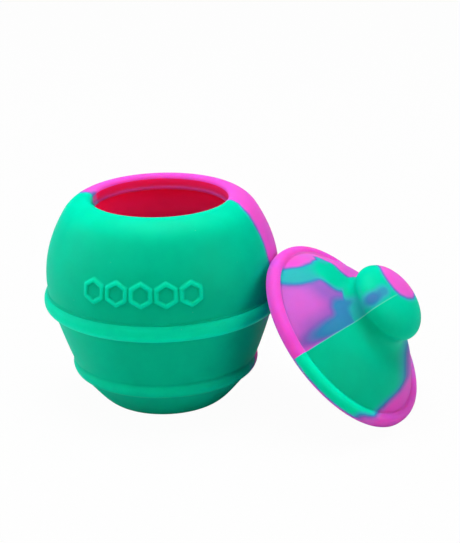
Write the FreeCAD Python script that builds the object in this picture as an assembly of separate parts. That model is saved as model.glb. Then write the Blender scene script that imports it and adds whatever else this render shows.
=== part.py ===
"""Silicone honey pot with a loose push-in lid, in millimetres, +Z up.

Two moulded pieces, each one closed solid:

* pot: a skep-shaped jar with two raised belts and a raised row of comb cells,
* lid: a rimmed dome with a mushroom knob above and a plug ring below.

The pot stands on Z = 0 with its axis on Z. The comb cells face -Y. The lid is
off: its lower edge stands on Z = 0 and it leans on the pot's +X side.
"""
import FreeCAD, Part
import math
import os

# ---- pot, outside -------------------------------------------------------------
FOOT_R = 12.0            # flat that the pot stands on
BELT_R = 29.0            # widest radius, over the upper belt
BODY_R = 28.2            # the wall just above the upper belt
RIM_R = 17.9             # crest of the rounded rim
RIM_Z = 51.8             # height of the pot
MOUTH_R = 16.5           # clear radius of the mouth

# ---- pot, inside --------------------------------------------------------------
WALL = 2.6               # nominal wall
FLOOR_Z = 2.8            # thickness of the floor
BEAD_R = 16.0            # snap bead under the mouth edge
BEAD_Z = RIM_Z - 3.3

# ---- raised comb cells on the pot's front ---------------------------------------
CELL_COUNT = 5
CELL_R = 3.2             # centre of a cell to its outer corner
CELL_STROKE = 0.95       # width of the raised line
CELL_RISE = 0.45         # height of the raised line over the wall
CELL_SINK = 0.4          # how far the line's root runs into the wall
CELL_Z = 36.2            # height of the row's centre
CELL_PITCH = 5.95        # centre to centre, along the wall

# ---- lid, in its own frame: Z = 0 is the rim's underside, +Z runs to the knob -----
LID_R = 24.8             # outer radius of the rim
LID_EDGE_R = 0.4         # rounding under the rim's outer edge
LID_RIM_H = 2.9          # top of the rounded rim
GROOVE_R = 22.15         # groove between the rim and the dome
GROOVE_Z = 2.55
NECK_R = 9.15
NECK_Z = 13.2
KNOB_R = 9.93
KNOB_Z = 15.9            # height of the knob's widest ring
KNOB_TOP_Z = 21.1
PLUG_R = 16.1            # plug ring, a slack fit in the mouth
PLUG_BEAD_R = 16.45      # snap bead round the plug ring
PLUG_DEPTH = 5.0
PLUG_WALL = 2.2
LID_HOLLOW_Z = 8.0       # top of the hollow under the dome

# ---- where the lid leans --------------------------------------------------------
LEAN_DEG = 49.6          # lid axis from upright
LEAN_FACING_DEG = -13.9  # way the knob points, from +X towards +Y
LID_X = 43.6             # centre of the rim's underside
LID_Y = -5.7

V = FreeCAD.Vector
UP = V(0, 0, 1)


def at(r, z):
    """A point of a turned outline, at radius r and height z."""
    return V(r, 0, z)


def line(start, end):
    return Part.LineSegment(start, end).toShape()


def curve(*poles):
    """A Bezier arc through its first and last pole."""
    bezier = Part.BezierCurve()
    bezier.setPoles(list(poles))
    return bezier.toShape()


def turned(edges):
    """The solid turned about Z from a closed outline of edges."""
    face = Part.Face(Part.Wire(edges))
    solid = face.revolve(V(0, 0, 0), UP, 360)
    return Part.Solid(solid.Shells[0])


def along(start, end, distance):
    """The point at a distance past end, on the line from start through end."""
    step = end.sub(start)
    step.normalize()
    return end.add(step.multiply(distance))


# ---- pot ----------------------------------------------------------------------
LOWER_BELT_LOW = at(21.1, 7.9)
LOWER_BELT_TOP = at(22.35, 11.55)
UPPER_BELT_LOW = at(26.75, 24.2)
UPPER_BELT_SIDE = at(BELT_R, 26.6)
UPPER_BELT_TOP = at(BODY_R - 0.3, 29.0)
BULGE_LOW = at(BODY_R, 32.4)
SHOULDER = at(23.5, 48.05)
RIM = at(RIM_R, RIM_Z)
MOUTH_EDGE = at(MOUTH_R, RIM_Z - 1.0)
BULGE = (BULGE_LOW, at(BODY_R, 36.2), at(27.6, 41.2), SHOULDER)


def bulge_curve(shift=0):
    """The wall from the upper belt to the shoulder, moved outwards by shift."""
    return curve(*[at(pole.x + shift, pole.z) for pole in BULGE])


def pot_outside():
    """Outline of the outer face, from the foot up to the mouth edge."""
    return [
        curve(at(FOOT_R, 0), at(15.2, 0.1), at(17.3, 3.8), LOWER_BELT_LOW),
        curve(LOWER_BELT_LOW, at(22.1, 8.1), at(23.2, 10.05), LOWER_BELT_TOP),
        curve(LOWER_BELT_TOP, at(24.5, 16.8), UPPER_BELT_LOW),
        curve(UPPER_BELT_LOW, at(28.3, 24.7), at(BELT_R, 25.5), UPPER_BELT_SIDE),
        curve(UPPER_BELT_SIDE, at(BELT_R, 27.85), at(28.6, 28.6), UPPER_BELT_TOP),
        curve(UPPER_BELT_TOP, at(BODY_R - 0.25, 29.8), at(BODY_R, 31.0), BULGE_LOW),
        bulge_curve(),
        curve(SHOULDER, along(BULGE[2], SHOULDER, 3.27), at(RIM_R + 1.0, RIM_Z), RIM),
        curve(RIM, at(17.1, RIM_Z), at(MOUTH_R, RIM_Z - 0.4), MOUTH_EDGE),
    ]


def pot_inside():
    """Outline of the inner face, from the mouth edge down to the floor's centre."""
    neck_low = at(MOUTH_R, BEAD_Z + 0.7)
    bead_low = at(MOUTH_R + 0.3, BEAD_Z - 0.6)
    waist = at(BODY_R - WALL, 33.0)
    knee = at(20.0, 11.5)
    floor_edge = at(11.0, FLOOR_Z)
    return [
        line(MOUTH_EDGE, neck_low),
        curve(neck_low, at(BEAD_R, BEAD_Z + 0.4), at(BEAD_R - 0.1, BEAD_Z - 0.3), bead_low),
        curve(bead_low, at(21.6, 48.0), at(BODY_R - WALL, 42.5), waist),
        curve(waist, at(BODY_R - WALL, 28.5), at(22.6, 19.0), knee),
        curve(knee, along(at(22.6, 19.0), knee, 3.0), at(14.5, FLOOR_Z), floor_edge),
        line(floor_edge, at(0, FLOOR_Z)),
    ]


def hexagon_bar(corner_r):
    """A six-sided bar along -Y, one corner up, centred on the cells' height."""
    corners = []
    for i in range(7):
        turn = math.radians(90 + 60 * i)
        corners.append(V(corner_r * math.cos(turn), 0, CELL_Z + corner_r * math.sin(turn)))
    return Part.Face(Part.makePolygon(corners)).extrude(V(0, -BELT_R - 2, 0))


def bulge_skin():
    """The ring that holds the raised lines: the bulge's wall, moved out and in."""
    outer = bulge_curve(CELL_RISE)
    inner = bulge_curve(-CELL_SINK)
    low, high = (line(at(BULGE[i].x - CELL_SINK, BULGE[i].z), at(BULGE[i].x + CELL_RISE, BULGE[i].z))
                 for i in (0, -1))
    return turned(Part.sortEdges([outer, high, inner, low])[0])


def comb_cells():
    """The raised outlines, each turned to its own place round the wall."""
    skin = bulge_skin()
    inner_r = CELL_R - CELL_STROKE / math.cos(math.radians(30))
    step_deg = math.degrees(CELL_PITCH / BODY_R)
    cells = []
    for i in range(CELL_COUNT):
        ring = hexagon_bar(CELL_R).cut(hexagon_bar(inner_r))
        ring.rotate(V(0, 0, 0), UP, (i - (CELL_COUNT - 1) / 2) * step_deg)
        cells.append(ring.common(skin))
    return cells


def make_pot():
    outline = [line(at(0, 0), at(FOOT_R, 0))] + pot_outside() + pot_inside()
    outline.append(line(at(0, FLOOR_Z), at(0, 0)))
    body = turned(outline)
    return body.fuse(comb_cells()).removeSplitter()


# ---- lid ----------------------------------------------------------------------
def make_lid_upright():
    """The lid in its own frame, knob up."""
    edge_low = at(LID_R - LID_EDGE_R, 0)
    edge_high = at(LID_R, LID_EDGE_R)
    rim_side = at(LID_R, 1.1)
    rim_top = at(LID_R - 1.7, LID_RIM_H)
    groove = at(GROOVE_R, GROOVE_Z)
    dome_top = at(14.0, 9.25)
    neck = at(NECK_R, NECK_Z)
    knob_side = at(KNOB_R, KNOB_Z)
    top = at(0, KNOB_TOP_Z)
    plug_in_r = PLUG_R - PLUG_WALL
    plug_low = -PLUG_DEPTH
    bead_mid = -3.95
    hollow_edge = at(plug_in_r, 2.6)
    outline = [
        Part.Arc(edge_low, at(LID_R - LID_EDGE_R * (1 - math.sin(math.pi / 4)),
                              LID_EDGE_R * (1 - math.cos(math.pi / 4))), edge_high).toShape(),
        line(edge_high, rim_side),
        curve(rim_side, at(LID_R, 2.3), at(LID_R - 0.7, LID_RIM_H), rim_top),
        curve(rim_top, at(GROOVE_R + 0.5, LID_RIM_H), groove),
        curve(groove, at(20.4, 4.4), at(16.8, 8.0), dome_top),
        curve(dome_top, along(at(16.8, 8.0), dome_top, 2.4), at(NECK_R, 10.9), neck),
        curve(neck, at(NECK_R, 14.3), at(KNOB_R, 14.5), knob_side),
        curve(knob_side, at(KNOB_R, 18.5), at(6.5, KNOB_TOP_Z), top),
        line(top, at(0, LID_HOLLOW_Z)),
        curve(at(0, LID_HOLLOW_Z), at(8.0, LID_HOLLOW_Z), at(plug_in_r, 6.4), hollow_edge),
        line(hollow_edge, at(plug_in_r, plug_low + 0.4)),
        curve(at(plug_in_r, plug_low + 0.4), at(plug_in_r, plug_low), at(plug_in_r + 0.4, plug_low)),
        line(at(plug_in_r + 0.4, plug_low), at(PLUG_R - 0.5, plug_low)),
        curve(at(PLUG_R - 0.5, plug_low), at(PLUG_R, plug_low), at(PLUG_R, plug_low + 0.5)),
        curve(at(PLUG_R, plug_low + 0.5), at(PLUG_BEAD_R + 0.15, bead_mid), at(PLUG_R, bead_mid + 0.6)),
        line(at(PLUG_R, bead_mid + 0.6), at(PLUG_R, 0)),
        line(at(PLUG_R, 0), edge_low),
    ]
    return turned(outline)


def lean(shape):
    """Stand the upright lid on its lower edge, leaning on the pot."""
    slope = math.radians(LEAN_DEG)
    lift = (LID_R - LID_EDGE_R) * math.sin(slope) + LID_EDGE_R * (1 - math.cos(slope))
    shape.rotate(V(0, 0, 0), V(0, 1, 0), LEAN_DEG)
    shape.rotate(V(0, 0, 0), UP, LEAN_FACING_DEG)
    shape.translate(V(LID_X, LID_Y, lift))
    return shape


def main():
    os.makedirs("parts", exist_ok=True)
    for name, shape in (("pot", make_pot()), ("lid", lean(make_lid_upright()))):
        shape.exportStep(f"parts/{name}.step")
        box = shape.optimalBoundingBox()
        print(f"{name}: solids {len(shape.Solids)}, valid {shape.isValid()}, "
              f"volume {shape.Volume / 1000:.2f} cm3, "
              f"box {box.XLength:.2f} x {box.YLength:.2f} x {box.ZLength:.2f}, low {box.ZMin:.3f}")


main()
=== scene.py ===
"""Looks for a two-colour silicone honey pot and its push-in lid.

Sizes are in millimetres where nothing else is said, and each mesh is scaled to
metres when it is finished. The pot stands on Z = 0 with its axis on Z and its comb cells towards
-Y. The lid is off and leans on the pot's +X side.
"""

import logging
import math
from dataclasses import dataclass, field
from enum import Enum
from typing import Callable, Iterable, Sequence

import bmesh
import bpy
from mathutils import Matrix, Vector, noise


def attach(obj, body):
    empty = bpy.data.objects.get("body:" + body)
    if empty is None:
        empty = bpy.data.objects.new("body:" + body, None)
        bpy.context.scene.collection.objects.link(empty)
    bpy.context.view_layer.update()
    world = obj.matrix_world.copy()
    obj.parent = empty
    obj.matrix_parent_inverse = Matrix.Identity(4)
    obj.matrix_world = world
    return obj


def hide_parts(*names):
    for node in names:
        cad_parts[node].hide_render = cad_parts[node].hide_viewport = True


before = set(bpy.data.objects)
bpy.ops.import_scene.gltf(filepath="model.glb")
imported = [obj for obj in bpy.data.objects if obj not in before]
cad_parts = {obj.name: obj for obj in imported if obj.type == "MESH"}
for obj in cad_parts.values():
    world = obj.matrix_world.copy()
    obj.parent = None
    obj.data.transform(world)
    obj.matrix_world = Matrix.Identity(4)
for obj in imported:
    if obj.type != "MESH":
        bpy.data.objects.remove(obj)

LOG = logging.getLogger("honey_pot")
MM = 0.001                  # a millimetre, in metres
PAINTED_LIGHT_AND_RIM = "painted_light"             # the vertex attribute that holds the share of painted light, which also marks the lid's rim
SAME_POINT = 0.002          # points nearer than this become one
ON_RING = 0.02              # how near a crease its own edges are
CREASE_STEPS = 4            # steps in the rounding of a crease
NOISE_SPAN = (0.3, 0.7)     # nearly all of a noise lies between these

Pole = tuple[float, float]
Triple = tuple[float, float, float]
Colour = tuple[float, float, float, float]
Outputs = dict[str, bpy.types.NodeSocket]


# ---- outlines and turned meshes -----------------------------------------------
def blend_points(a: Pole, b: Pole, t: float) -> Pole:
    """The point a share t of the way from a to b."""
    return (a[0] + (b[0] - a[0]) * t, a[1] + (b[1] - a[1]) * t)


def beyond(start: Pole, end: Pole, distance: float) -> Pole:
    """The point at a distance past end, on the line from start through end."""
    length = math.dist(start, end)
    return blend_points(start, end, 1 + distance / length)


def on_curve(poles: Sequence[Pole], t: float) -> Pole:
    """The point at t on a Bezier curve.

    Args:
        poles: The curve's poles, as (radius, height).
        t: Where on the curve, from 0 to 1.

    Returns:
        The point, as (radius, height).
    """
    points = list(poles)
    while len(points) > 1:
        points = [blend_points(a, b, t) for a, b in zip(points, points[1:])]
    return points[0]


@dataclass(frozen=True)
class Stretch:
    """One stretch of a turned outline, a line or a Bezier curve.

    Attributes:
        poles: The curve's poles, or the line's two ends, as (radius, height).
        steps: How many pieces it is cut into.
    """

    poles: tuple[Pole, ...]
    steps: int

    def points(self) -> list[Pole]:
        """The stretch's points, without its last one."""
        return [on_curve(self.poles, i / self.steps) for i in range(self.steps)]


def smooth_step(low: float, high: float, value: float) -> float:
    """A smooth rise from 0 at low to 1 at high."""
    t = min(1.0, max(0.0, (value - low) / (high - low)))
    return t * t * (3 - 2 * t)


def polar(place: Vector) -> tuple[float, float]:
    """A place's distance from the Z axis, and its direction in radians from +X."""
    return math.hypot(place.x, place.y), math.atan2(place.y, place.x)


def turn_outline(stretches: Sequence[Stretch], segments: int,
                 first_deg: float) -> bmesh.types.BMesh:
    """Turns a closed outline about Z into a closed mesh.

    Args:
        stretches: The outline, from the axis below to the axis inside or above.
        segments: How many steps the full turn takes.
        first_deg: The direction in which the outline itself stands, from +X.

    Returns:
        The mesh, in millimetres, with its faces outwards.
    """
    points = [p for stretch in stretches for p in stretch.points()]
    points.append(stretches[-1].poles[-1])
    first = math.radians(first_deg)
    way = Vector((math.cos(first), math.sin(first), 0))
    bm = bmesh.new()
    verts = [bm.verts.new(way * r + Vector((0, 0, z))) for r, z in points]
    edges = [bm.edges.new(pair) for pair in zip(verts, verts[1:])]
    bmesh.ops.spin(bm, geom=verts + edges, cent=(0, 0, 0), axis=(0, 0, 1),
                   angle=math.tau, steps=segments, use_merge=True, use_duplicate=False)
    bmesh.ops.remove_doubles(bm, verts=bm.verts[:], dist=SAME_POINT)
    bmesh.ops.recalc_face_normals(bm, faces=bm.faces[:])
    return bm


def soften_ring(bm: bmesh.types.BMesh, at: Pole, width: float) -> None:
    """Rounds a crease that runs round the piece.

    Args:
        bm: The turned mesh.
        at: The crease's radius and height.
        width: How far the rounding reaches to each side.
    """
    ring = [e for e in bm.edges
            if all(abs(polar(v.co)[0] - at[0]) < ON_RING and abs(v.co.z - at[1]) < ON_RING
                   for v in e.verts)]
    bmesh.ops.bevel(bm, geom=ring, offset=width, offset_type="OFFSET", segments=CREASE_STEPS,
                    profile=0.5, affect="EDGES", material=-1)


def refine(bm: bmesh.types.BMesh, faces: Iterable[bmesh.types.BMFace], cuts: int) -> None:
    """Makes the mesh finer over some faces, by a number of cuts through each edge."""
    edges = list(dict.fromkeys(e for f in faces for e in f.edges))
    bmesh.ops.subdivide_edges(bm, edges=edges, cuts=cuts, use_grid_fill=True)


def note_painted_light(bm: bmesh.types.BMesh, painted_light_at: Callable[[Vector], float]) -> None:
    """Stores on each vertex the share of painted light that its colour gets.

    Args:
        bm: The mesh, in its own frame.
        painted_light_at: Gives the share at a place, 0 on the plain wall.
    """
    layer = bm.verts.layers.float.new(PAINTED_LIGHT_AND_RIM)
    for v in bm.verts:
        v[layer] = painted_light_at(v.co)


def finish_mesh(bm: bmesh.types.BMesh, name: str) -> bpy.types.Object:
    """Scales a mesh to metres, shades it smooth and makes its object.

    Args:
        bm: The mesh in millimetres, freed here.
        name: The object's name.

    Returns:
        The object, at the origin.
    """
    bmesh.ops.scale(bm, vec=(MM, MM, MM), verts=bm.verts[:])
    for face in bm.faces:
        face.smooth = True
    mesh = bpy.data.meshes.new(name)
    bm.to_mesh(mesh)
    bm.free()
    piece = bpy.data.objects.new(name, mesh)
    bpy.context.scene.collection.objects.link(piece)
    return piece


# ---- shader nodes ---------------------------------------------------------------
class Blend(Enum):
    """The ways in which one colour is laid over another."""

    MIX = "MIX"
    MULTIPLY = "MULTIPLY"


class Graph:
    """Adds nodes to a node tree, with values and links given by socket."""

    def __init__(self, tree: bpy.types.NodeTree) -> None:
        """Keeps the tree that the nodes go into."""
        self.tree = tree

    def add(self, kind: str, inputs: dict[str | int, object] | None = None,
            **settings: object) -> bpy.types.Node:
        """Adds one node.

        Args:
            kind: The node's type, such as ShaderNodeMath.
            inputs: Its inputs, each a value or the socket that feeds it.
            **settings: Its properties.

        Returns:
            The node.
        """
        node = self.tree.nodes.new(kind)
        for key, value in settings.items():
            setattr(node, key, value)
        for key, value in (inputs or {}).items():
            if isinstance(value, bpy.types.NodeSocket):
                self.tree.links.new(value, node.inputs[key])
            else:
                node.inputs[key].default_value = value
        return node

    def math(self, operation: str, a: object, b: object = 0.0) -> bpy.types.NodeSocket:
        """A Math node on two values or sockets."""
        return self.add("ShaderNodeMath", {0: a, 1: b}, operation=operation).outputs[0]

    def vector(self, operation: str, a: object, b: object = (0, 0, 0)) -> bpy.types.NodeSocket:
        """A Vector Math node with a vector output."""
        return self.add("ShaderNodeVectorMath", {0: a, 1: b}, operation=operation).outputs["Vector"]

    def rise(self, value: object, low: object, high: object,
             to_low: float = 0.0, to_high: float = 1.0) -> bpy.types.NodeSocket:
        """A smooth step from one result to another.

        Args:
            value: The value that is followed.
            low: Where the step starts.
            high: Where it ends.
            to_low: The result up to low.
            to_high: The result from high on.

        Returns:
            The result's socket.
        """
        node = self.add("ShaderNodeMapRange",
                        {"Value": value, "From Min": low, "From Max": high,
                         "To Min": to_low, "To Max": to_high},
                        interpolation_type="SMOOTHSTEP")
        return node.outputs["Result"]

    def mix(self, share: object, a: object, b: object) -> bpy.types.NodeSocket:
        """A Mix node on two values."""
        return self.add("ShaderNodeMix", {0: share, 2: a, 3: b}, data_type="FLOAT").outputs[0]

    def mix_colour(self, share: object, a: object, b: object,
                   how: Blend = Blend.MIX) -> bpy.types.NodeSocket:
        """A Mix node on two colours."""
        node = self.add("ShaderNodeMix", {0: share, 6: a, 7: b}, data_type="RGBA",
                        blend_type=how.value)
        return node.outputs[2]

    def noise(self, place: object, scale: float, detail: float = 2.0,
              roughness: float = 0.5) -> bpy.types.Node:
        """A Noise Texture node."""
        return self.add("ShaderNodeTexNoise",
                        {"Vector": place, "Scale": scale, "Detail": detail, "Roughness": roughness})


class Socket(Enum):
    """The kinds of socket that a group has."""

    VALUE = "NodeSocketFloat"
    VECTOR = "NodeSocketVector"
    COLOUR = "NodeSocketColor"


def new_group(name: str, ins: dict[str, Socket], outs: dict[str, Socket],
              fill: Callable[[Graph, bpy.types.Node], Outputs]) -> bpy.types.NodeTree:
    """Makes a shader node group.

    Args:
        name: The group's name.
        ins: Its inputs, each with its kind.
        outs: Its outputs, each with its kind.
        fill: Adds the nodes, given the graph and the group's input node, and
            returns the socket that feeds each output.

    Returns:
        The group.
    """
    tree = bpy.data.node_groups.new(name, "ShaderNodeTree")
    for label, kind in ins.items():
        tree.interface.new_socket(name=label, in_out="INPUT", socket_type=kind.value)
    for label, kind in outs.items():
        tree.interface.new_socket(name=label, in_out="OUTPUT", socket_type=kind.value)
    graph = Graph(tree)
    results = fill(graph, graph.add("NodeGroupInput"))
    graph.add("NodeGroupOutput", results)
    return tree


def pigment_patch_nodes(g: Graph, given: bpy.types.Node) -> Outputs:
    """A soft-edged ellipsoid in which the colour goes towards its own share of green.

    Args:
        g: The group's graph.
        given: The group's input node.

    Returns:
        Share, the share of green with the patch laid over what was before.
    """
    away = g.vector("SUBTRACT", given.outputs["Place"], given.outputs["Centre"])
    turned = g.add("ShaderNodeVectorRotate",
                   {"Vector": away, "Angle": g.math("MULTIPLY", given.outputs["Turn"], -1.0)},
                   rotation_type="Z_AXIS").outputs[0]
    scaled = g.vector("DIVIDE", turned, given.outputs["Radii"])
    far = g.add("ShaderNodeVectorMath", {0: scaled}, operation="LENGTH").outputs["Value"]
    low = g.math("SUBTRACT", 1.0, given.outputs["Soft"])
    high = g.math("ADD", 1.0, given.outputs["Soft"])
    mask = g.rise(far, low, high, 1.0, 0.0)
    return {"Share": g.mix(mask, given.outputs["Before"], given.outputs["Green"])}


def parting_nodes(g: Graph, given: bpy.types.Node) -> Outputs:
    """An upright plane between two shots of silicone, and the mould line that runs along it.

    Args:
        g: The group's graph.
        given: The group's input node.

    Returns:
        Side, 1 on the side that the plane faces and 0 on the other, and Line, the mask of
        the mould line, which fades in from the axis and mostly out on the rim.
    """
    half_width, from_axis, to_rim, left_on_rim = (0.04, 0.2), (1.0, 6.5), (21.5, 22.8), 0.25
    turned = g.add("ShaderNodeVectorRotate",
                   {"Vector": given.outputs["Place"],
                    "Angle": g.math("MULTIPLY", given.outputs["Facing"], -1.0)},
                   rotation_type="Z_AXIS").outputs[0]
    parts = g.add("ShaderNodeSeparateXYZ", {0: turned})
    side = g.math("SUBTRACT", parts.outputs["X"], given.outputs["Shift"])
    ahead = g.math("MULTIPLY", parts.outputs["Y"], -1.0)
    line = g.math("MULTIPLY", g.rise(g.math("ABSOLUTE", side), *half_width, 1.0, 0.0),
                  g.rise(ahead, *from_axis))
    line = g.math("MULTIPLY", line, g.rise(ahead, *to_rim, 1.0, left_on_rim))
    low = g.math("MULTIPLY", given.outputs["Soft"], -1.0)
    return {"Side": g.rise(side, low, given.outputs["Soft"]), "Line": line}


TWO_TONE: tuple[tuple[float, Colour], ...] = (
    (0.0, (0.88, 0.085, 0.60, 1)),      # pink
    (0.22, (0.62, 0.125, 0.60, 1)),     # lilac
    (0.42, (0.24, 0.12, 0.50, 1)),      # purple
    (0.57, (0.04, 0.23, 0.47, 1)),      # blue
    (0.74, (0.03, 0.43, 0.47, 1)),      # teal
    (1.0, (0.0, 0.56, 0.33, 1)),        # green
)


def two_tone_nodes(g: Graph, given: bpy.types.Node) -> Outputs:
    """Pink to green, through the colours that the two make where they mix.

    Args:
        g: The group's graph.
        given: The group's input node.

    Returns:
        Color, the pigment at the share of green that is given.
    """
    ramp = g.add("ShaderNodeValToRGB", {"Fac": given.outputs["Green"]})
    points = ramp.color_ramp.elements
    while len(points) < len(TWO_TONE):
        points.new(0.5)
    for point, (where, colour) in zip(points, TWO_TONE):
        point.position = where
        point.color = colour
    return {"Color": ramp.outputs["Color"]}


def skin_nodes(g: Graph, given: bpy.types.Node) -> Outputs:
    """The moulded skin: fine grain, slow unevenness and a few specks of lint.

    Args:
        g: The group's graph.
        given: The group's input node.

    Returns:
        Height, in millimetres, Uneven and Grain, two noises, and Lint, the specks' mask.
    """
    grain_height, wave_height = 0.012, 0.02
    speck_edge, bare_share = (0.02, 0.05), 0.72
    place = given.outputs["Place"]
    grain = g.noise(place, scale=5.5, detail=3.0, roughness=0.65).outputs[0]
    uneven = g.noise(place, scale=0.22, detail=2.0, roughness=0.5).outputs[0]
    cells = g.add("ShaderNodeTexVoronoi", {"Vector": place, "Scale": 0.42, "Randomness": 1.0})
    draw = g.add("ShaderNodeSeparateColor", {0: cells.outputs["Color"]}).outputs[0]
    chosen = g.math("GREATER_THAN", draw, bare_share)
    speck = g.rise(cells.outputs["Distance"], *speck_edge, 1.0, 0.0)
    height = g.math("ADD", g.math("MULTIPLY", grain, grain_height),
                    g.math("MULTIPLY", uneven, wave_height))
    return {"Height": height, "Uneven": uneven, "Grain": grain,
            "Lint": g.math("MULTIPLY", speck, chosen)}


@dataclass(frozen=True)
class Effects:
    """The node groups that the silicone finishes share.

    Attributes:
        patch: A patch of pigment.
        parting: The plane between the two shots, with its mould line.
        two_tone: The pigment at a share of green.
        skin: The moulded skin.
    """

    patch: bpy.types.NodeTree
    parting: bpy.types.NodeTree
    two_tone: bpy.types.NodeTree
    skin: bpy.types.NodeTree

    @classmethod
    def build(cls) -> "Effects":
        """Makes each group once.

        Returns:
            The groups.
        """
        value, vector = Socket.VALUE, Socket.VECTOR
        return cls(
            patch=new_group("pigment_patch",
                            {"Place": vector, "Centre": vector, "Radii": vector, "Turn": value,
                             "Soft": value, "Before": value, "Green": value},
                            {"Share": value}, pigment_patch_nodes),
            parting=new_group("parting", {"Place": vector, "Facing": value, "Shift": value,
                                          "Soft": value},
                              {"Side": value, "Line": value}, parting_nodes),
            two_tone=new_group("two_tone", {"Green": value}, {"Color": Socket.COLOUR},
                               two_tone_nodes),
            skin=new_group("moulded_skin", {"Place": vector},
                           {"Height": value, "Uneven": value, "Grain": value, "Lint": value},
                           skin_nodes),
        )


@dataclass(frozen=True)
class Patch:
    """A patch of pigment: an ellipsoid with a soft edge, in the piece's own frame.

    Attributes:
        centre: Its centre.
        radii: Its three radii, before it is turned.
        green: The share of green in it.
        turn_deg: How far it is turned about Z.
        soft: Half the width of its edge, as a share of the radii.
    """

    centre: Triple
    radii: Triple
    green: float
    turn_deg: float = 0.0
    soft: float = 0.25


@dataclass(frozen=True)
class Halves:
    """The two shots of silicone: an upright plane with pink on one side, green on the other.

    Attributes:
        facing_deg: The way from pink to green, from +X.
        shift: The plane's distance from the axis, that way.
        soft: How far the two run into each other.
        pink_patches: The patches in the pink, lowest first.
        green_patches: The patches in the green, lowest first.
        across: The patches that lie over both.
        mould_line: True where the plane is sharp and carries the mould line.
    """

    facing_deg: float
    shift: float
    soft: float
    pink_patches: tuple[Patch, ...] = ()
    green_patches: tuple[Patch, ...] = ()
    across: tuple[Patch, ...] = ()
    mould_line: bool = False


@dataclass(frozen=True)
class Placing:
    """Where a piece's own frame stands in the object's.

    Attributes:
        at: Its origin.
        lean_deg: Its axis, from upright.
        facing_deg: The way in which it leans, from +X.
    """

    at: Triple = (0.0, 0.0, 0.0)
    lean_deg: float = 0.0
    facing_deg: float = 0.0

    def matrix(self) -> Matrix:
        """The move from the piece's own frame.

        Returns:
            The matrix, in millimetres.
        """
        turn = Matrix.Rotation(math.radians(self.facing_deg), 4, "Z")
        lean = Matrix.Rotation(math.radians(self.lean_deg), 4, "Y")
        return Matrix.Translation(self.at) @ turn @ lean


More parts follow.
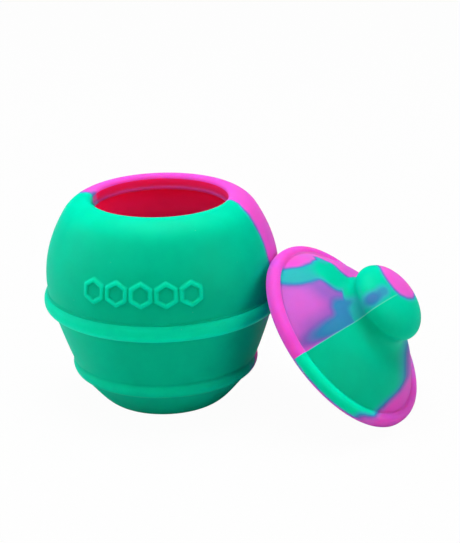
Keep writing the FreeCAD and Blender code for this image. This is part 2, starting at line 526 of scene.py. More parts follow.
@dataclass(frozen=True)
class Silicone:
    """A satin silicone in two shots of colour.

    Attributes:
        name: The material's name.
        halves: Where the two colours and their swirls are.
        placing: Where the piece's own frame stands.
        drift: How far the pigments' edges wander.
        plain_over: The share of painted light over which pink has no swirls, from and to.
        reach: How far light travels in the silicone.
        scatter: How far red, green and blue get, as shares of the reach.
        painted_light_gain: How much lighter green is painted where the share of painted light is high.
        deep: The colour that pink is painted towards in the cavity, painted light for the light caught in
            the hollow.
        bead_z: The height of the snap bead, where pink turns the least, a painted highlight.
        line: The mould line's colour.
        line_share: How much of that colour is laid over the line.
        lint: The colour of the specks of lint.
        lint_share: How much of that colour is laid over a speck.
        lint_rough: How much rougher a speck is.
        roughness: The skin's roughness.
        rough_swing: How far the roughness goes below and above that.
        ior: The index of refraction.
        sheen: The specular level.
        bump: The strength of the grain.
    """

    name: str
    halves: Halves
    placing: Placing = field(default_factory=Placing)
    drift: float = 0.8
    plain_over: Pole | None = None
    reach: float = 8.0
    scatter: Triple = (1.0, 0.2, 0.25)
    painted_light_gain: float = 0.6
    deep: Colour | None = None
    bead_z: float = 48.5
    line: Colour = (0.42, 0.86, 0.86, 1)
    line_share: float = 0.22
    lint: Colour = (0.8, 0.8, 0.78, 1)
    lint_share: float = 0.18
    lint_rough: float = 0.2
    roughness: float = 0.46
    rough_swing: Pole = (-0.04, 0.05)
    ior: float = 1.41
    sheen: float = 0.04
    bump: float = 0.35

    def build(self, effects: Effects) -> bpy.types.Material:
        """Makes the material.

        Args:
            effects: The shared node groups.

        Returns:
            The material.
        """
        material = bpy.data.materials.new(self.name)
        material.use_nodes = True
        material.node_tree.nodes.clear()
        g = Graph(material.node_tree)
        place = self.own_place(g)
        share, line = self.shares(g, effects, place)
        tone = g.add("ShaderNodeGroup", {"Green": share}, node_tree=effects.two_tone)
        skin = g.add("ShaderNodeGroup", {"Place": place}, node_tree=effects.skin)
        shown = self.shaded(g, self.with_painted_cavity_light(g, place, tone.outputs["Color"], share), skin, share)
        if self.halves.mould_line:
            shown = g.mix_colour(g.math("MULTIPLY", line, self.line_share), shown, self.line)
        bump = g.add("ShaderNodeBump", {"Height": skin.outputs["Height"], "Strength": self.bump,
                                        "Distance": MM})
        least, most = (self.roughness + swing for swing in self.rough_swing)
        rough = g.math("ADD", g.rise(skin.outputs["Uneven"], *NOISE_SPAN, least, most),
                       g.math("MULTIPLY", skin.outputs["Lint"], self.lint_rough))
        shader = g.add("ShaderNodeBsdfPrincipled",
                       {"Base Color": shown, "Roughness": rough, "Normal": bump.outputs[0],
                        "IOR": self.ior, "Specular IOR Level": self.sheen,
                        "Subsurface Weight": 1.0, "Subsurface Radius": self.scatter,
                        "Subsurface Scale": self.reach * MM})
        g.add("ShaderNodeOutputMaterial", {"Surface": shader.outputs[0]})
        return material

    def shares(self, g: Graph, effects: Effects,
               place: bpy.types.NodeSocket) -> tuple[bpy.types.NodeSocket, bpy.types.NodeSocket]:
        """How much of the pigment is green, and where the mould line is.

        Args:
            g: The material's graph.
            effects: The shared node groups.
            place: The place in the piece's own frame.

        Returns:
            The share of green and the mould line's mask.
        """
        halves = self.halves
        drifted = self.drifted(g, place)
        sides = g.add("ShaderNodeGroup",
                      {"Place": place if halves.mould_line else drifted,
                       "Facing": math.radians(halves.facing_deg), "Shift": halves.shift,
                       "Soft": halves.soft}, node_tree=effects.parting)
        pink = self.patched(g, effects, drifted, 0.0, halves.pink_patches)
        if self.plain_over:
            pink = g.mix(g.rise(self.painted_light_and_rim(g), *self.plain_over), pink, 0.0)
        green = self.patched(g, effects, drifted, 1.0, halves.green_patches)
        share = g.mix(sides.outputs["Side"], pink, green)
        share = self.patched(g, effects, drifted, share, halves.across)
        return share, sides.outputs["Line"]

    def own_place(self, g: Graph) -> bpy.types.NodeSocket:
        """The surface's place in the piece's own frame.

        Args:
            g: The material's graph.

        Returns:
            The place, in millimetres.
        """
        placing = self.placing
        turn = (0.0, math.radians(placing.lean_deg), math.radians(placing.facing_deg))
        at = tuple(c * MM for c in placing.at)
        given = g.add("ShaderNodeTexCoord").outputs["Object"]
        return g.add("ShaderNodeMapping",
                     {"Vector": given, "Location": at, "Rotation": turn, "Scale": (MM, MM, MM)},
                     vector_type="TEXTURE").outputs[0]

    def painted_light_and_rim(self, g: Graph) -> bpy.types.NodeSocket:
        """The share of painted light at the surface, which on the lid also marks the rim."""
        return g.add("ShaderNodeAttribute", attribute_name=PAINTED_LIGHT_AND_RIM).outputs["Fac"]

    def drifted(self, g: Graph, place: bpy.types.NodeSocket) -> bpy.types.NodeSocket:
        """The place, pushed about as the two pigments were while they flowed.

        Args:
            g: The material's graph.
            place: The place in the piece's own frame.

        Returns:
            The drifted place.
        """
        wander = g.noise(place, scale=0.16, detail=3.0, roughness=0.55).outputs["Color"]
        push = g.vector("SUBTRACT", wander, (0.5, 0.5, 0.5))
        amount = self.drift * 2
        return g.vector("ADD", place, g.vector("MULTIPLY", push, (amount, amount, amount)))

    def patched(self, g: Graph, effects: Effects, place: bpy.types.NodeSocket,
                start: bpy.types.NodeSocket | float,
                patches: Iterable[Patch]) -> bpy.types.NodeSocket | float:
        """The share of green after each patch is laid over the one before.

        Args:
            g: The material's graph.
            effects: The shared node groups.
            place: The drifted place.
            start: The share with no patch.
            patches: The patches, lowest first.

        Returns:
            The share of green.
        """
        share = start
        for patch in patches:
            node = g.add("ShaderNodeGroup",
                         {"Place": place, "Centre": patch.centre, "Radii": patch.radii,
                          "Turn": math.radians(patch.turn_deg), "Soft": patch.soft,
                          "Green": patch.green, "Before": share}, node_tree=effects.patch)
            share = node.outputs["Share"]
        return share

    def with_painted_cavity_light(self, g: Graph, place: bpy.types.NodeSocket, colour: bpy.types.NodeSocket,
                 share: bpy.types.NodeSocket) -> bpy.types.NodeSocket:
        """The pigment's colour, painted towards the deep one where it is pink, for the light caught in the
        cavity.

        Args:
            g: The material's graph.
            place: The place in the piece's own frame.
            colour: The pigment's colour.
            share: The share of green in it.

        Returns:
            The colour, which turns the least on the snap bead, a painted highlight there.
        """
        if not self.deep:
            return colour
        # Painted light: the cavity's pink is painted towards deep crimson for the light caught in the
        # hollow, and turned less on the bead, a painted highlight.
        beside_bead, turn_there, turn_away = (0.2, 0.7), 0.60, 0.97
        pink_to_green = (0.15, 0.75)
        height = g.add("ShaderNodeSeparateXYZ", {0: place}).outputs["Z"]
        off_bead = g.math("ABSOLUTE", g.math("SUBTRACT", height, self.bead_z))
        most = g.rise(off_bead, *beside_bead, turn_there, turn_away)
        pink = g.math("MULTIPLY", g.rise(share, *pink_to_green, 1.0, 0.0), most)
        return g.mix_colour(pink, colour, self.deep)

    def shaded(self, g: Graph, colour: bpy.types.NodeSocket, skin: bpy.types.Node,
               share: bpy.types.NodeSocket) -> bpy.types.NodeSocket:
        """The colour with its unevenness, grain and lint, and painted light on green where the share of
        painted light is high.

        Args:
            g: The material's graph.
            colour: The colour before.
            skin: The moulded skin's node.
            share: The share of green in the pigment.

        Returns:
            The colour that is shown.
        """
        uneven_gain, grain_gain = (0.975, 1.025), (0.975, 1.02)
        pale = g.rise(skin.outputs["Uneven"], *NOISE_SPAN, *uneven_gain)
        fine = g.rise(skin.outputs["Grain"], *NOISE_SPAN, *grain_gain)
        # Painted light: green is lightened by the share of painted light, a painted highlight on the pot's
        # lip and painted light on its belts, comb cells and the lid's rim and knob.
        painted_light = g.math("MULTIPLY", self.painted_light_and_rim(g), share)
        lit = g.math("ADD", 1.0, g.math("MULTIPLY", painted_light, self.painted_light_gain))
        gain = g.math("MULTIPLY", g.math("MULTIPLY", pale, fine), lit)
        grey = g.add("ShaderNodeCombineColor", {0: gain, 1: gain, 2: gain}).outputs[0]
        colour = g.mix_colour(1.0, colour, grey, Blend.MULTIPLY)
        lint = g.math("MULTIPLY", skin.outputs["Lint"], self.lint_share)
        return g.mix_colour(lint, colour, self.lint)


# ---- the pot --------------------------------------------------------------------
@dataclass(frozen=True)
class CombCells:
    """The row of raised comb cells on the pot's front.

    Attributes:
        count: How many cells there are.
        corner_r: From a cell's centre to its outer corner.
        stroke: The width of the raised line.
        rise: Its height over the wall.
        height: The height of the row's centre.
        pitch: From one centre to the next, along the wall.
        wall_r: The wall's radius behind the row.
        edge: Half the width of the line's soft edge.
        corner_power: How sharp the corners are.
        side_deg: The three ways in which a cell's sides face, from along the wall.
        beside: How far past the row's ends the mesh is made finer.
        above: How far over and under the row it is made finer.
    """

    count: int = 5
    corner_r: float = 3.2
    stroke: float = 0.95
    rise: float = 0.45
    height: float = 36.2
    pitch: float = 5.95
    wall_r: float = 28.2
    edge: float = 0.24
    corner_power: int = 18
    side_deg: Triple = (0.0, 60.0, 120.0)
    beside: float = 0.9
    above: float = 0.7

    def along(self, azimuth: float) -> float:
        """How far along the wall a direction is from the row's middle."""
        return (azimuth + math.pi / 2) * self.wall_r

    def reaches(self, azimuth: float, z: float) -> bool:
        """True near enough to the row for its lines to need a finer mesh."""
        half = self.count * self.pitch / 2 + self.beside
        return abs(self.along(azimuth)) < half and abs(z - self.height) < self.corner_r + self.above

    def lift(self, azimuth: float, z: float) -> float:
        """How far the wall is raised at a point.

        Args:
            azimuth: The point's direction from the pot's axis, in radians from +X.
            z: Its height.

        Returns:
            The rise in millimetres.
        """
        up = z - self.height
        half = self.stroke / 2
        middle = self.corner_r * math.cos(math.radians(30)) - half
        off_line = math.inf
        for i in range(self.count):
            across = self.along(azimuth) - (i - (self.count - 1) / 2) * self.pitch
            sides = [abs(across * math.cos(math.radians(a)) + up * math.sin(math.radians(a)))
                     for a in self.side_deg]
            ring = sum(side ** self.corner_power for side in sides) ** (1 / self.corner_power)
            off_line = min(off_line, abs(ring - middle))
        return self.rise * smooth_step(half + self.edge, half - self.edge, off_line)


class PotSide(Enum):
    """The pot's two finishes, by material slot."""

    OUTSIDE = 0
    CAVITY = 1


@dataclass(frozen=True)
class HoneyPot:
    """The skep-shaped pot: a turned wall, two belts, a mouth with a snap bead, comb cells.

    Attributes:
        foot_r: The flat that the pot stands on.
        belt_r: The widest radius, over the upper belt.
        body_r: The wall's radius just above the upper belt.
        rim_r: The radius of the rim's crest.
        rim_z: The pot's height.
        mouth_r: The mouth's clear radius.
        wall: The nominal wall.
        floor_z: How much silicone the floor has, from its underside to its top.
        bead_r: The snap bead's radius, inside the mouth.
        crease_soft: How far the rounding of the belts' creases reaches.
        lip_painted_highlight: How much painted highlight the lip gets.
        lower_belt_painted_light: How much painted light the lower belt gets, at its lower and its upper
            edge.
        upper_belt_painted_light: How much painted light the upper belt gets, the same way.
        cell_line_painted_light: How much painted light the comb cells' lines get.
        flash_in_deg: Where the flash on the mouth's front edge fades in.
        flash_out_deg: Where it fades out.
        flash_h: How far it can stand into the mouth.
        flash_teeth: How many teeth it has in a degree, about.
        segments: The steps of the full turn.
        cells: The comb cells.
    """

    foot_r: float = 12.0
    belt_r: float = 29.0
    body_r: float = 28.2
    rim_r: float = 17.9
    rim_z: float = 51.8
    mouth_r: float = 16.5
    wall: float = 2.6
    floor_z: float = 2.8
    bead_r: float = 16.0
    crease_soft: float = 0.32
    lip_painted_highlight: float = 0.3
    lower_belt_painted_light: Pole = (0.35, 0.35)
    upper_belt_painted_light: Pole = (1.1, 0.2)
    cell_line_painted_light: float = 0.43
    flash_in_deg: Pole = (-150.0, -125.0)
    flash_out_deg: Pole = (-80.0, -40.0)
    flash_h: float = 0.35
    flash_teeth: float = 0.35
    segments: int = 240
    cells: CombCells = field(default_factory=CombCells)

    def creases(self) -> tuple[Pole, ...]:
        """The lower and upper edges of the two belts, as (radius, height)."""
        return ((21.1, 7.9), (22.35, 11.55), (26.75, 24.2), (self.body_r - 0.3, 29.0))

    def mouth_edge(self) -> Pole:
        """Where the lip ends and the cavity starts."""
        return (self.mouth_r, self.rim_z - 1.0)

    def bulge(self) -> tuple[Pole, ...]:
        """The poles of the wall between the upper belt and the shoulder."""
        return ((self.body_r, 32.4), (self.body_r, 36.2), (27.6, 41.2), (23.5, 48.05))

    def outside(self) -> list[Stretch]:
        """The outline from the foot's centre up to the mouth's edge.

        Returns:
            Its stretches.
        """
        low_a, low_b, high_a, high_b = self.creases()
        bulge = self.bulge()
        rim = (self.rim_r, self.rim_z)
        belt_side = (self.belt_r, 26.6)
        return [
            Stretch(((0.0, 0.0), (self.foot_r, 0.0)), 12),                            # the foot
            Stretch(((self.foot_r, 0.0), (15.2, 0.1), (17.3, 3.8), low_a), 20),       # up to the lower belt
            Stretch((low_a, (22.1, 8.1), (23.2, 10.05), low_b), 7),                   # the lower belt
            Stretch((low_b, (24.5, 16.8), high_a), 18),                               # between the belts
            Stretch((high_a, (28.3, 24.7), (self.belt_r, 25.5), belt_side), 10),      # the upper belt
            Stretch((belt_side, (self.belt_r, 27.85), (28.6, 28.6), high_b), 8),
            Stretch((high_b, (self.body_r - 0.25, 29.8), (self.body_r, 31.0), bulge[0]), 6),
            Stretch(bulge, 32),                                                       # the bulge
            Stretch((bulge[3], beyond(bulge[2], bulge[3], 3.27),
                     (self.rim_r + 1.0, self.rim_z), rim), 16),                       # the shoulder
            Stretch((rim, (17.1, self.rim_z), (self.mouth_r, self.rim_z - 0.4),
                     self.mouth_edge()), 8),                                          # the lip
        ]

    def inside(self) -> list[Stretch]:
        """The outline from the mouth's edge down to the floor's centre.

        Returns:
            Its stretches.
        """
        bead_z = self.rim_z - 3.3
        neck = (self.mouth_r, bead_z + 0.7)
        under = (self.mouth_r + 0.3, bead_z - 0.6)
        wide = self.body_r - self.wall
        knee_pole, knee = (22.6, 19.0), (20.0, 11.5)
        return [
            Stretch((self.mouth_edge(), neck), 3),                                    # the mouth
            Stretch((neck, (self.bead_r, bead_z + 0.4), (self.bead_r - 0.1, bead_z - 0.3),
                     under), 10),                                                     # the snap bead
            Stretch((under, (21.6, 48.0), (wide, 42.5), (wide, 33.0)), 26),           # under the shoulder
            Stretch(((wide, 33.0), (wide, 28.5), knee_pole, knee), 24),               # the wall
            Stretch((knee, beyond(knee_pole, knee, 3.0), (14.5, self.floor_z),
                     (11.0, self.floor_z)), 14),
            Stretch(((11.0, self.floor_z), (0.0, self.floor_z)), 10),                 # the floor
        ]

    def painted_light_share(self, place: Vector) -> float:
        """How much painted light a place's colour gets.

        Args:
            place: The place, in millimetres.

        Returns:
            The share, from 0 on the plain wall to upper_belt_painted_light on the upper belt.
        """
        r, azimuth = polar(place)
        z = place.z
        # A painted highlight on the lip, then painted light on the belts and on the comb cells' lines.
        share = self.lip_painted_highlight * smooth_step(self.rim_z - 7.0, self.rim_z - 0.8, z)
        low_a, low_b, high_a, high_b = self.creases()
        for low, high, (at_low, at_high) in ((low_a, low_b, self.lower_belt_painted_light),
                                             (high_a, high_b, self.upper_belt_painted_light)):
            if low[1] < z < high[1]:
                up = (z - low[1]) / (high[1] - low[1])
                proud = r - blend_points(low, high, up)[0]
                share = (at_low + (at_high - at_low) * up) * smooth_step(0.0, 0.5, proud)
        if r > self.mid_wall() and self.cells.reaches(azimuth, z):
            share = self.cell_line_painted_light * self.cells.lift(azimuth, z) / self.cells.rise
        return share

    def mid_wall(self) -> float:
        """The radius that parts the wall's outer face from its inner one, at the bulge."""
        return self.body_r - self.wall / 2

    def wall_radius(self, z: float) -> float:
        """The outer wall's radius between the upper belt and the shoulder.

        Args:
            z: The height.

        Returns:
            The radius.
        """
        low, high, near_enough = 0.0, 1.0, 1e-5
        while high - low > near_enough:
            middle = (low + high) / 2
            if on_curve(self.bulge(), middle)[1] < z:
                low = middle
            else:
                high = middle
        return on_curve(self.bulge(), low)[0]

    def raise_cells(self, bm: bmesh.types.BMesh) -> None:
        """Refines the wall round the comb cells and raises their lines.

        Args:
            bm: The pot's mesh.
        """
        near = []
        for f in bm.faces:
            middle = f.calc_center_median()
            r, azimuth = polar(middle)
            if r > self.mid_wall() and self.cells.reaches(azimuth, middle.z):
                near.append(f)
        refine(bm, near, cuts=3)
        for v in bm.verts:
            r, azimuth = polar(v.co)
            if r > self.mid_wall() and self.cells.reaches(azimuth, v.co.z):
                r = self.wall_radius(v.co.z) + self.cells.lift(azimuth, v.co.z)
                v.co.x = r * math.cos(azimuth)
                v.co.y = r * math.sin(azimuth)

    def roughen_mouth(self, bm: bmesh.types.BMesh) -> None:
        """Leaves a trace of moulding flash on the mouth's front edge.

        Args:
            bm: The pot's mesh.
        """
        beside, below = 0.5, 0.3
        fade_in, (out_from, out_to) = self.flash_in_deg, self.flash_out_deg
        for v in bm.verts:
            r, azimuth = polar(v.co)
            if r < self.mouth_r + beside and v.co.z > self.mouth_edge()[1] - below:
                turn = math.degrees(azimuth)
                share = smooth_step(*fade_in, turn) * smooth_step(out_to, out_from, turn)
                tooth = noise.noise(Vector((turn * self.flash_teeth, 0.3, 0.0)))
                grow = 1 - share * max(0.0, tooth) * self.flash_h / r
                v.co.x *= grow
                v.co.y *= grow

    def side(self, face: bmesh.types.BMFace) -> PotSide:
        """Which finish a face has.

        Args:
            face: A face of the pot.

        Returns:
            CAVITY below the mouth's edge for the wall that faces the axis, the bead and
            the floor, and OUTSIDE for the rest.
        """
        just_under, neither_way = 0.1, 1e-4
        middle = face.calc_center_median()
        outwards = Vector((middle.x, middle.y, 0.0)).dot(face.normal)
        on_floor = (middle.z > self.floor_z - just_under and polar(middle)[0] < self.foot_r
                    and face.normal.z > 0)
        inside = middle.z < self.mouth_edge()[1] and (outwards < -neither_way or on_floor)
        return PotSide.CAVITY if inside else PotSide.OUTSIDE

    def pigment(self) -> Halves:
        """The pot's colours: pink behind, green in front, and what runs across.

        Returns:
            The halves and their patches.
        """
        return Halves(facing_deg=-104.4, shift=-0.5, soft=1.3, across=(
            Patch((16.8, -5.4, 50.0), (3.6, 3.1, 3.2), 1.0, 0, 0.25),
            Patch((-16.0, 22.0, 26.0), (7.0, 8.0, 19.0), 0.25, 40, 0.60),
            Patch((-26.0, 6.0, 30.0), (10.0, 18.0, 24.0), 1.0, 0, 0.10),
            Patch((-16.0, 6.0, 52.0), (5.0, 5.3, 4.5), 0.0, 0, 0.25),
            Patch((24.0, -4.0, 17.0), (6.0, 3.4, 7.5), 1.0, 0, 0.25),
            Patch((17.0, 14.0, 27.0), (5.0, 8.0, 5.0), 0.45, 30, 0.7),
            Patch((-16.2, 1.6, 49.8), (1.5, 1.9, 2.6), 0.50, 0, 0.6),
        ))

    def build(self, effects: Effects) -> bpy.types.Object:
        """Makes the pot.

        Args:
            effects: The shared node groups.

        Returns:
            The pot's object, riding on its body.
        """
        bm = turn_outline(self.outside() + self.inside(), self.segments, first_deg=-90)
        for crease in self.creases():
            soften_ring(bm, crease, self.crease_soft)
        self.raise_cells(bm)
        # Painted light: each vertex keeps the share of painted light that its colour gets.
        note_painted_light(bm, self.painted_light_share)
        self.roughen_mouth(bm)
        for f in bm.faces:
            f.material_index = self.side(f).value
        piece = finish_mesh(bm, "pot_shell")
        halves = self.pigment()
        # The cavity's finish paints its pink deep crimson, painted light caught in the hollow.
        for finish in (Silicone("pot_outside", halves),
                       Silicone("pot_cavity", halves, reach=36.0, deep=(1.0, 0.015, 0.12, 1))):
            piece.data.materials.append(finish.build(effects))
        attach(piece, "pot_body")
        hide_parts("pot")
        return piece


# ---- the lid --------------------------------------------------------------------
@dataclass(frozen=True)
class PushInLid:
    """The lid: a rimmed dome with a mushroom knob above and a plug ring below.

    Its own frame has Z = 0 at the rim's underside and +Z towards the knob.

    Attributes:
        rim_r: The rim's outer radius.
        edge_r: The rounding under the rim's outer edge.
        rim_h: The top of the rounded rim.
        groove_r: The radius of the groove between the rim and the dome.
        groove_z: The groove's height.
        groove_soft: How far the groove's rounding reaches.
        neck_r: The neck's radius.
        neck_z: Its height.
        knob_r: The knob's radius.
        knob_z: The height at which the knob is widest.
        top_z: The knob's top.
        plug_r: The plug ring's radius.
        plug_bead_r: The radius of the snap bead round it.
        plug_bead_z: The bead's height.
        plug_depth: How deep the plug ring goes.
        plug_wall: Its wall.
        hollow_z: The top of the hollow under the dome.
        lean_deg: The lid's axis, from upright.
        facing_deg: The way in which the knob points, from +X.
        at: Where the middle of the rim's underside is.
        mould_line_deg: The way in which the mould line runs, in the lid's own frame.
        ridge_half: Half the width of the ridge on the mould line.
        ridge_h: The ridge's height.
        rim_painted_light_and_mask: How much painted light the rim gets, a share that also keeps its pink
            plain.
        knob_painted_light: How much painted light the knob gets.
        plain_over: The share of painted light over which pink has no swirls, which is on the rim.
        segments: The steps of the full turn.
    """

    rim_r: float = 24.8
    edge_r: float = 0.4
    rim_h: float = 2.9
    groove_r: float = 22.15
    groove_z: float = 2.55
    groove_soft: float = 0.3
    neck_r: float = 9.15
    neck_z: float = 13.2
    knob_r: float = 9.93
    knob_z: float = 15.9
    top_z: float = 21.1
    plug_r: float = 16.1
    plug_bead_r: float = 16.45
    plug_bead_z: float = -3.95
    plug_depth: float = 5.0
    plug_wall: float = 2.2
    hollow_z: float = 8.0
    lean_deg: float = 49.6
    facing_deg: float = -13.9
    at: Pole = (43.6, -5.7)
    mould_line_deg: float = -99.5
    ridge_half: float = 0.20
    ridge_h: float = 0.07
    rim_painted_light_and_mask: float = 0.65
    knob_painted_light: float = 0.2
    plain_over: Pole = (0.25, 0.5)
    segments: int = 216

    def placing(self) -> Placing:
        """Where the lid stands on its lower edge, leaning on the pot.

        Returns:
            The place of the lid's own frame.
        """
        slope = math.radians(self.lean_deg)
        lift = (self.rim_r - self.edge_r) * math.sin(slope) + self.edge_r * (1 - math.cos(slope))
        return Placing((self.at[0], self.at[1], lift), self.lean_deg, self.facing_deg)

    def top(self) -> list[Stretch]:
        """The outline from the rim's lower edge over the dome to the knob's top.

        Returns:
            Its stretches.
        """
        r, e = self.rim_r, self.edge_r
        edge_high = (r, e)
        side = (r, 1.1)
        rim_top = (r - 1.7, self.rim_h)
        groove = (self.groove_r, self.groove_z)
        dome_pole, dome_top = (16.8, 8.0), (14.0, 9.25)
        neck = (self.neck_r, self.neck_z)
        knob = (self.knob_r, self.knob_z)
        return [
            Stretch(((r - e, 0.0), (r, 0.0), edge_high), 4),                          # the rim's lower edge
            Stretch((edge_high, side), 2),                                            # its side
            Stretch((side, (r, 2.3), (r - 0.7, self.rim_h), rim_top), 10),            # its top
            Stretch((rim_top, (self.groove_r + 0.5, self.rim_h), groove), 5),         # into the groove
            Stretch((groove, (20.4, 4.4), dome_pole, dome_top), 22),                  # the dome
            Stretch((dome_top, beyond(dome_pole, dome_top, 2.4), (self.neck_r, 10.9), neck), 18),
            Stretch((neck, (self.neck_r, 14.3), (self.knob_r, 14.5), knob), 9),       # the knob's underside
            Stretch((knob, (self.knob_r, 18.5), (6.5, self.top_z), (0.0, self.top_z)), 34),  # its top
        ]

    def below(self) -> list[Stretch]:
        """The outline from the hollow's centre round the plug ring to the rim's lower edge.

        Returns:
            Its stretches.
        """
        inner = self.plug_r - self.plug_wall
        low = -self.plug_depth
        bead_top = (self.plug_r, self.plug_bead_z + 0.6)
        hollow = (inner, 2.6)
        return [
            Stretch(((0.0, self.hollow_z), (8.0, self.hollow_z), (inner, 6.4), hollow), 22),  # the hollow
            Stretch((hollow, (inner, low + 0.4)), 10),                                # inside the plug ring
            Stretch(((inner, low + 0.4), (inner, low), (inner + 0.4, low)), 4),
            Stretch(((inner + 0.4, low), (self.plug_r - 0.5, low)), 2),               # the ring's end
            Stretch(((self.plug_r - 0.5, low), (self.plug_r, low), (self.plug_r, low + 0.5)), 4),
            Stretch(((self.plug_r, low + 0.5), (self.plug_bead_r + 0.15, self.plug_bead_z),
                     bead_top), 6),                                                   # its snap bead
            Stretch((bead_top, (self.plug_r, 0.0)), 4),                               # its outer wall
            Stretch(((self.plug_r, 0.0), (self.rim_r - self.edge_r, 0.0)), 12),       # the rim's underside
        ]

    def raise_mould_line(self, bm: bmesh.types.BMesh) -> None:
        """Raises the thin line of flash that crosses the lid's top where the mould parts.

        Args:
            bm: The lid's mesh, in the lid's own frame.
        """
        turn = math.radians(self.mould_line_deg)
        along = Vector((math.cos(turn), math.sin(turn), 0))
        across = Vector((-along.y, along.x, 0))
        past_axis, over_underside, beside_line = 0.3, 0.5, 0.8
        from_axis, to_edge = (1.0, 6.5), (24.0, 22.0)
        near = []
        for f in bm.faces:
            middle = f.calc_center_median()
            if (abs(middle.dot(across)) < beside_line and middle.dot(along) > past_axis
                    and middle.z > over_underside and f.normal.z > -0.2):
                near.append(f)
        refine(bm, near, cuts=2)
        bm.normal_update()
        moves = []
        for v in bm.verts:
            out = v.co.dot(along)
            if out > past_axis and v.co.z > over_underside and v.normal.z > -0.3:
                ridge = smooth_step(self.ridge_half, 0.0, abs(v.co.dot(across)))
                fade = smooth_step(*from_axis, out) * smooth_step(*to_edge, out)
                moves.append((v, v.normal * self.ridge_h * ridge * fade))
        for v, move in moves:
            v.co += move

    def painted_light_share(self, place: Vector) -> float:
        """How much painted light a place's colour gets, which on the rim also keeps pink plain.

        Args:
            place: The place, in the lid's own frame.

        Returns:
            The share, rim_painted_light_and_mask on the rim and knob_painted_light on the knob.
        """
        rim = smooth_step(self.groove_r - 0.1, self.groove_r + 0.9, polar(place)[0])
        knob = smooth_step(self.neck_z, self.knob_z, place.z)
        return max(self.rim_painted_light_and_mask * rim, self.knob_painted_light * knob)

    def pigment(self) -> Halves:
        """The lid's colours: pink with swirls on one side of the mould line, green on the other.

        Returns:
            The halves and their patches.
        """
        knob = Patch((0, 0, 20), (10.2, 10.2, 60), 1.0, 0, 0.035)
        pink_side = (
            Patch((-12.0, -13.5, 6), (8.5, 8.0, 40), 0.24, 0, 0.35),        # on the dome
            Patch((-14.0, 7.0, 6), (9.0, 8.0, 40), 0.12, 0, 0.40),
            Patch((-11.0, -7.6, 6), (7.5, 3.1, 40), 0.38, -6, 0.65),
            Patch((-18.2, -7.2, 5), (3.4, 5.2, 40), 0.42, -33, 0.40),       # the band by the rim
            Patch((-18.2, -6.6, 5), (3.0, 4.6, 40), 0.77, -33, 0.40),
            Patch((-16.6, -2.8, 6), (2.4, 2.8, 40), 0.80, 20, 0.60),
            Patch((-4.9, -12.5, 6), (3.4, 9.5, 40), 0.36, -14, 0.55),       # beside the mould line
            Patch((-3.4, -11.5, 6), (2.4, 9.5, 40), 0.60, -12, 0.55),
            Patch((-12.6, -1.4, 8), (5.6, 3.8, 40), 1.0, -22, 0.35),        # from the knob outwards
            Patch((-15.6, 1.8, 6), (2.4, 3.0, 40), 1.0, 35, 0.45),
            Patch((-17.4, 4.4, 6), (0.9, 2.4, 40), 0.8, 30, 0.60),
            knob,
            Patch((-5.6, -9.2, 10.8), (3.2, 3.2, 3.4), 0.58, 0, 0.45),      # at the neck
            Patch((-3.2, -8.2, 13.2), (2.6, 2.0, 2.2), 0.80, 0, 0.45),
            Patch((-3.3, -6.0, 19.4), (1.6, 2.6, 1.7), 0.64, -8, 0.60),     # on the knob's side
            Patch((-3.6, -8.4, 17.5), (1.8, 1.8, 2.4), 0.56, 0, 0.55),
        )
        green_side = (
            Patch((19.0, 5.0, 6), (8.0, 8.4, 40), 0.60, -25, 0.45),         # on the dome
            Patch((19.5, 8.0, 6), (8.0, 7.4, 40), 0.33, -25, 0.50),
            Patch((18.0, 18.0, 6), (9.0, 9.0, 40), 0.25, 0, 0.40),
            Patch((31.0, -6.0, 4), (12.8, 50.0, 40), 0.0, 0, 0.15),         # pink at the rim
            Patch((24.0, -24.0, 4), (9.6, 9.2, 40), 0.0, 0, 0.13),
            knob,
        )
        both = (
            Patch((-3.0, 4.2, 20.5), (5.6, 7.2, 8), 0.1, 25, 0.18),         # the knob's top
            Patch((0, 0, -2.6), (60, 60, 3.4), 0.1, 0, 0.15),               # the underside
        )
        return Halves(facing_deg=self.mould_line_deg + 90, shift=0.0, soft=0.12,
                      pink_patches=pink_side, green_patches=green_side, across=both,
                      mould_line=True)

    def build(self, effects: Effects) -> bpy.types.Object:
        """Makes the lid.

        Args:
            effects: The shared node groups.

        Returns:
            The lid's object, riding on its body.
        """
        bm = turn_outline(self.below() + self.top(), self.segments, self.mould_line_deg)
        soften_ring(bm, (self.groove_r, self.groove_z), self.groove_soft)
        self.raise_mould_line(bm)
        # Painted light on the rim and knob; the rim's share also keeps its pink plain.
        note_painted_light(bm, self.painted_light_share)
        placing = self.placing()
        bmesh.ops.transform(bm, matrix=placing.matrix(), verts=bm.verts[:])
        piece = finish_mesh(bm, "lid_cap")
        finish = Silicone("lid_skin", self.pigment(), placing, drift=0.5,
                          plain_over=self.plain_over)
        piece.data.materials.append(finish.build(effects))
        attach(piece, "lid_body")
        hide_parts("lid")
        return piece


# ---- the studio -------------------------------------------------------------------
@dataclass(frozen=True)
class SoftLight:
    """A square soft light that faces a point.

    Attributes:
        name: The light's name.
        at: Where it is, in metres.
        towards: The point that it faces, in metres.
        size: Its side, in metres.
        watts: Its power.
    """

    name: str
    at: Triple
    towards: Triple
    size: float
    watts: float

    def build(self) -> bpy.types.Object:
        """Makes the light.

        Returns:
            The light's object.
        """
        data = bpy.data.lights.new(self.name, "AREA")
        data.shape = "SQUARE"
        data.size = self.size
        data.energy = self.watts
        lamp = bpy.data.objects.new(self.name, data)
        bpy.context.scene.collection.objects.link(lamp)
        lamp.location = self.at
        way = Vector(self.towards) - Vector(self.at)
        lamp.rotation_euler = way.to_track_quat("-Z", "Y").to_euler()
        return lamp


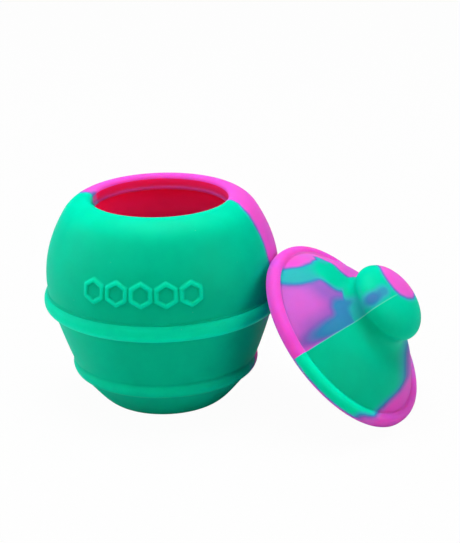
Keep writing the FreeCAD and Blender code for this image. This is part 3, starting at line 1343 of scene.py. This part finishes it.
@dataclass(frozen=True)
class Studio:
    """A pale floor, soft light from above and from three sides, and the camera.

    Attributes:
        eye_mm: The camera's eye.
        yaw_deg: How far it looks to the right of +Y.
        pitch_deg: How far it looks down.
        roll_deg: How far it is turned about its own axis.
        focal_px: The focal length, in pixels of the render.
        frame_px: The render's longer side, in pixels.
        floor_size: The floor's side, in metres.
        floor_grey: How much light the floor throws back onto the pieces.
        floor_white: The share of plain white in what the camera sees of the floor.
        world: How much light the surroundings give.
        lights: The lights.
    """

    eye_mm: Triple = (89.65, -461.21, 198.51)
    yaw_deg: float = -9.0054
    pitch_deg: float = 19.5494
    roll_deg: float = -1.511
    focal_px: float = 2049.06
    frame_px: float = 543.0
    floor_size: float = 12.0
    floor_grey: float = 0.56
    floor_white: float = 0.97
    world: float = 0.0
    lights: tuple[SoftLight, ...] = (
        SoftLight("overhead", (0.0, 0.03, 0.80), (0.01, 0.0, 0.03), 0.6, 7.4),
        SoftLight("left_fill", (-0.75, -0.05, 0.25), (0.01, 0.0, 0.03), 0.5, 2.2),
        SoftLight("right_fill", (0.70, -0.35, 0.25), (0.01, 0.0, 0.03), 0.5, 2.2),
        SoftLight("front_fill", (-0.42, -0.52, 0.42), (0.01, 0.0, 0.03), 0.5, 1.4),
    )

    def build_floor(self) -> bpy.types.Object:
        """Makes the floor, level with the pot's foot.

        Returns:
            The floor's object.
        """
        bm = bmesh.new()
        bmesh.ops.create_grid(bm, x_segments=4, y_segments=4, size=self.floor_size / 2 / MM)
        floor = finish_mesh(bm, "floor")
        material = bpy.data.materials.new("pale_floor")
        material.use_nodes = True
        material.node_tree.nodes.clear()
        g = Graph(material.node_tree)
        seen = g.add("ShaderNodeLightPath").outputs["Is Camera Ray"]
        matt = g.add("ShaderNodeBsdfDiffuse", {"Color": (self.floor_grey,) * 3 + (1,)})
        white = g.add("ShaderNodeEmission", {"Color": (1, 1, 1, 1), "Strength": 1.0})
        lit = g.add("ShaderNodeMixShader", {0: g.math("MULTIPLY", seen, self.floor_white),
                                            1: matt.outputs[0], 2: white.outputs[0]})
        g.add("ShaderNodeOutputMaterial", {"Surface": lit.outputs[0]})
        floor.data.materials.append(material)
        return floor

    def build_world(self) -> None:
        """Makes plain white surroundings."""
        world = bpy.data.worlds.new("studio")
        world.use_nodes = True
        g = Graph(world.node_tree)
        seen = g.add("ShaderNodeLightPath").outputs["Is Camera Ray"]
        background = world.node_tree.nodes["Background"]
        background.inputs["Color"].default_value = (1, 1, 1, 1)
        g.tree.links.new(g.rise(seen, 0.0, 1.0, self.world, 1.0), background.inputs["Strength"])
        bpy.context.scene.world = world
        bpy.context.scene.view_settings.view_transform = "Standard"

    def build_camera(self) -> bpy.types.Object:
        """Makes the camera, placed by its eye and three turns.

        Returns:
            The camera's object.
        """
        yaw, pitch, roll = (math.radians(a) for a in (self.yaw_deg, self.pitch_deg, self.roll_deg))
        ahead = Vector((math.sin(yaw) * math.cos(pitch), math.cos(yaw) * math.cos(pitch),
                        -math.sin(pitch)))
        right = Vector((math.cos(yaw), -math.sin(yaw), 0))
        up = right.cross(ahead)
        level = Matrix((right, up, -ahead)).transposed()
        turn = level @ Matrix.Rotation(roll, 3, "Z")
        data = bpy.data.cameras.new("camera")
        data.sensor_width = 36.0
        data.lens = self.focal_px * data.sensor_width / self.frame_px
        data.clip_start = 0.01
        data.clip_end = 100
        camera = bpy.data.objects.new("camera", data)
        bpy.context.scene.collection.objects.link(camera)
        camera.matrix_world = Matrix.Translation(Vector(self.eye_mm) * MM) @ turn.to_4x4()
        bpy.context.scene.camera = camera
        return camera

    def build(self) -> None:
        """Makes the floor, the world, the lights and the camera."""
        self.build_floor()
        self.build_world()
        for light in self.lights:
            light.build()
        self.build_camera()


def report(piece: bpy.types.Object) -> None:
    """Logs a piece's name, faces and box.

    Args:
        piece: The piece's object.
    """
    low = [min(c[i] for c in piece.bound_box) / MM for i in range(3)]
    high = [max(c[i] for c in piece.bound_box) / MM for i in range(3)]
    LOG.info("%s: %d faces, from %s to %s mm", piece.name, len(piece.data.polygons),
             [round(c, 2) for c in low], [round(c, 2) for c in high])


def main() -> None:
    """Builds the pot, the lid and the studio."""
    logging.basicConfig(level=logging.INFO, format="%(name)s %(message)s")
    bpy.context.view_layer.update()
    effects = Effects.build()
    for part in (HoneyPot(), PushInLid()):
        report(part.build(effects))
    Studio().build()


if __name__ == "__main__":
    main()
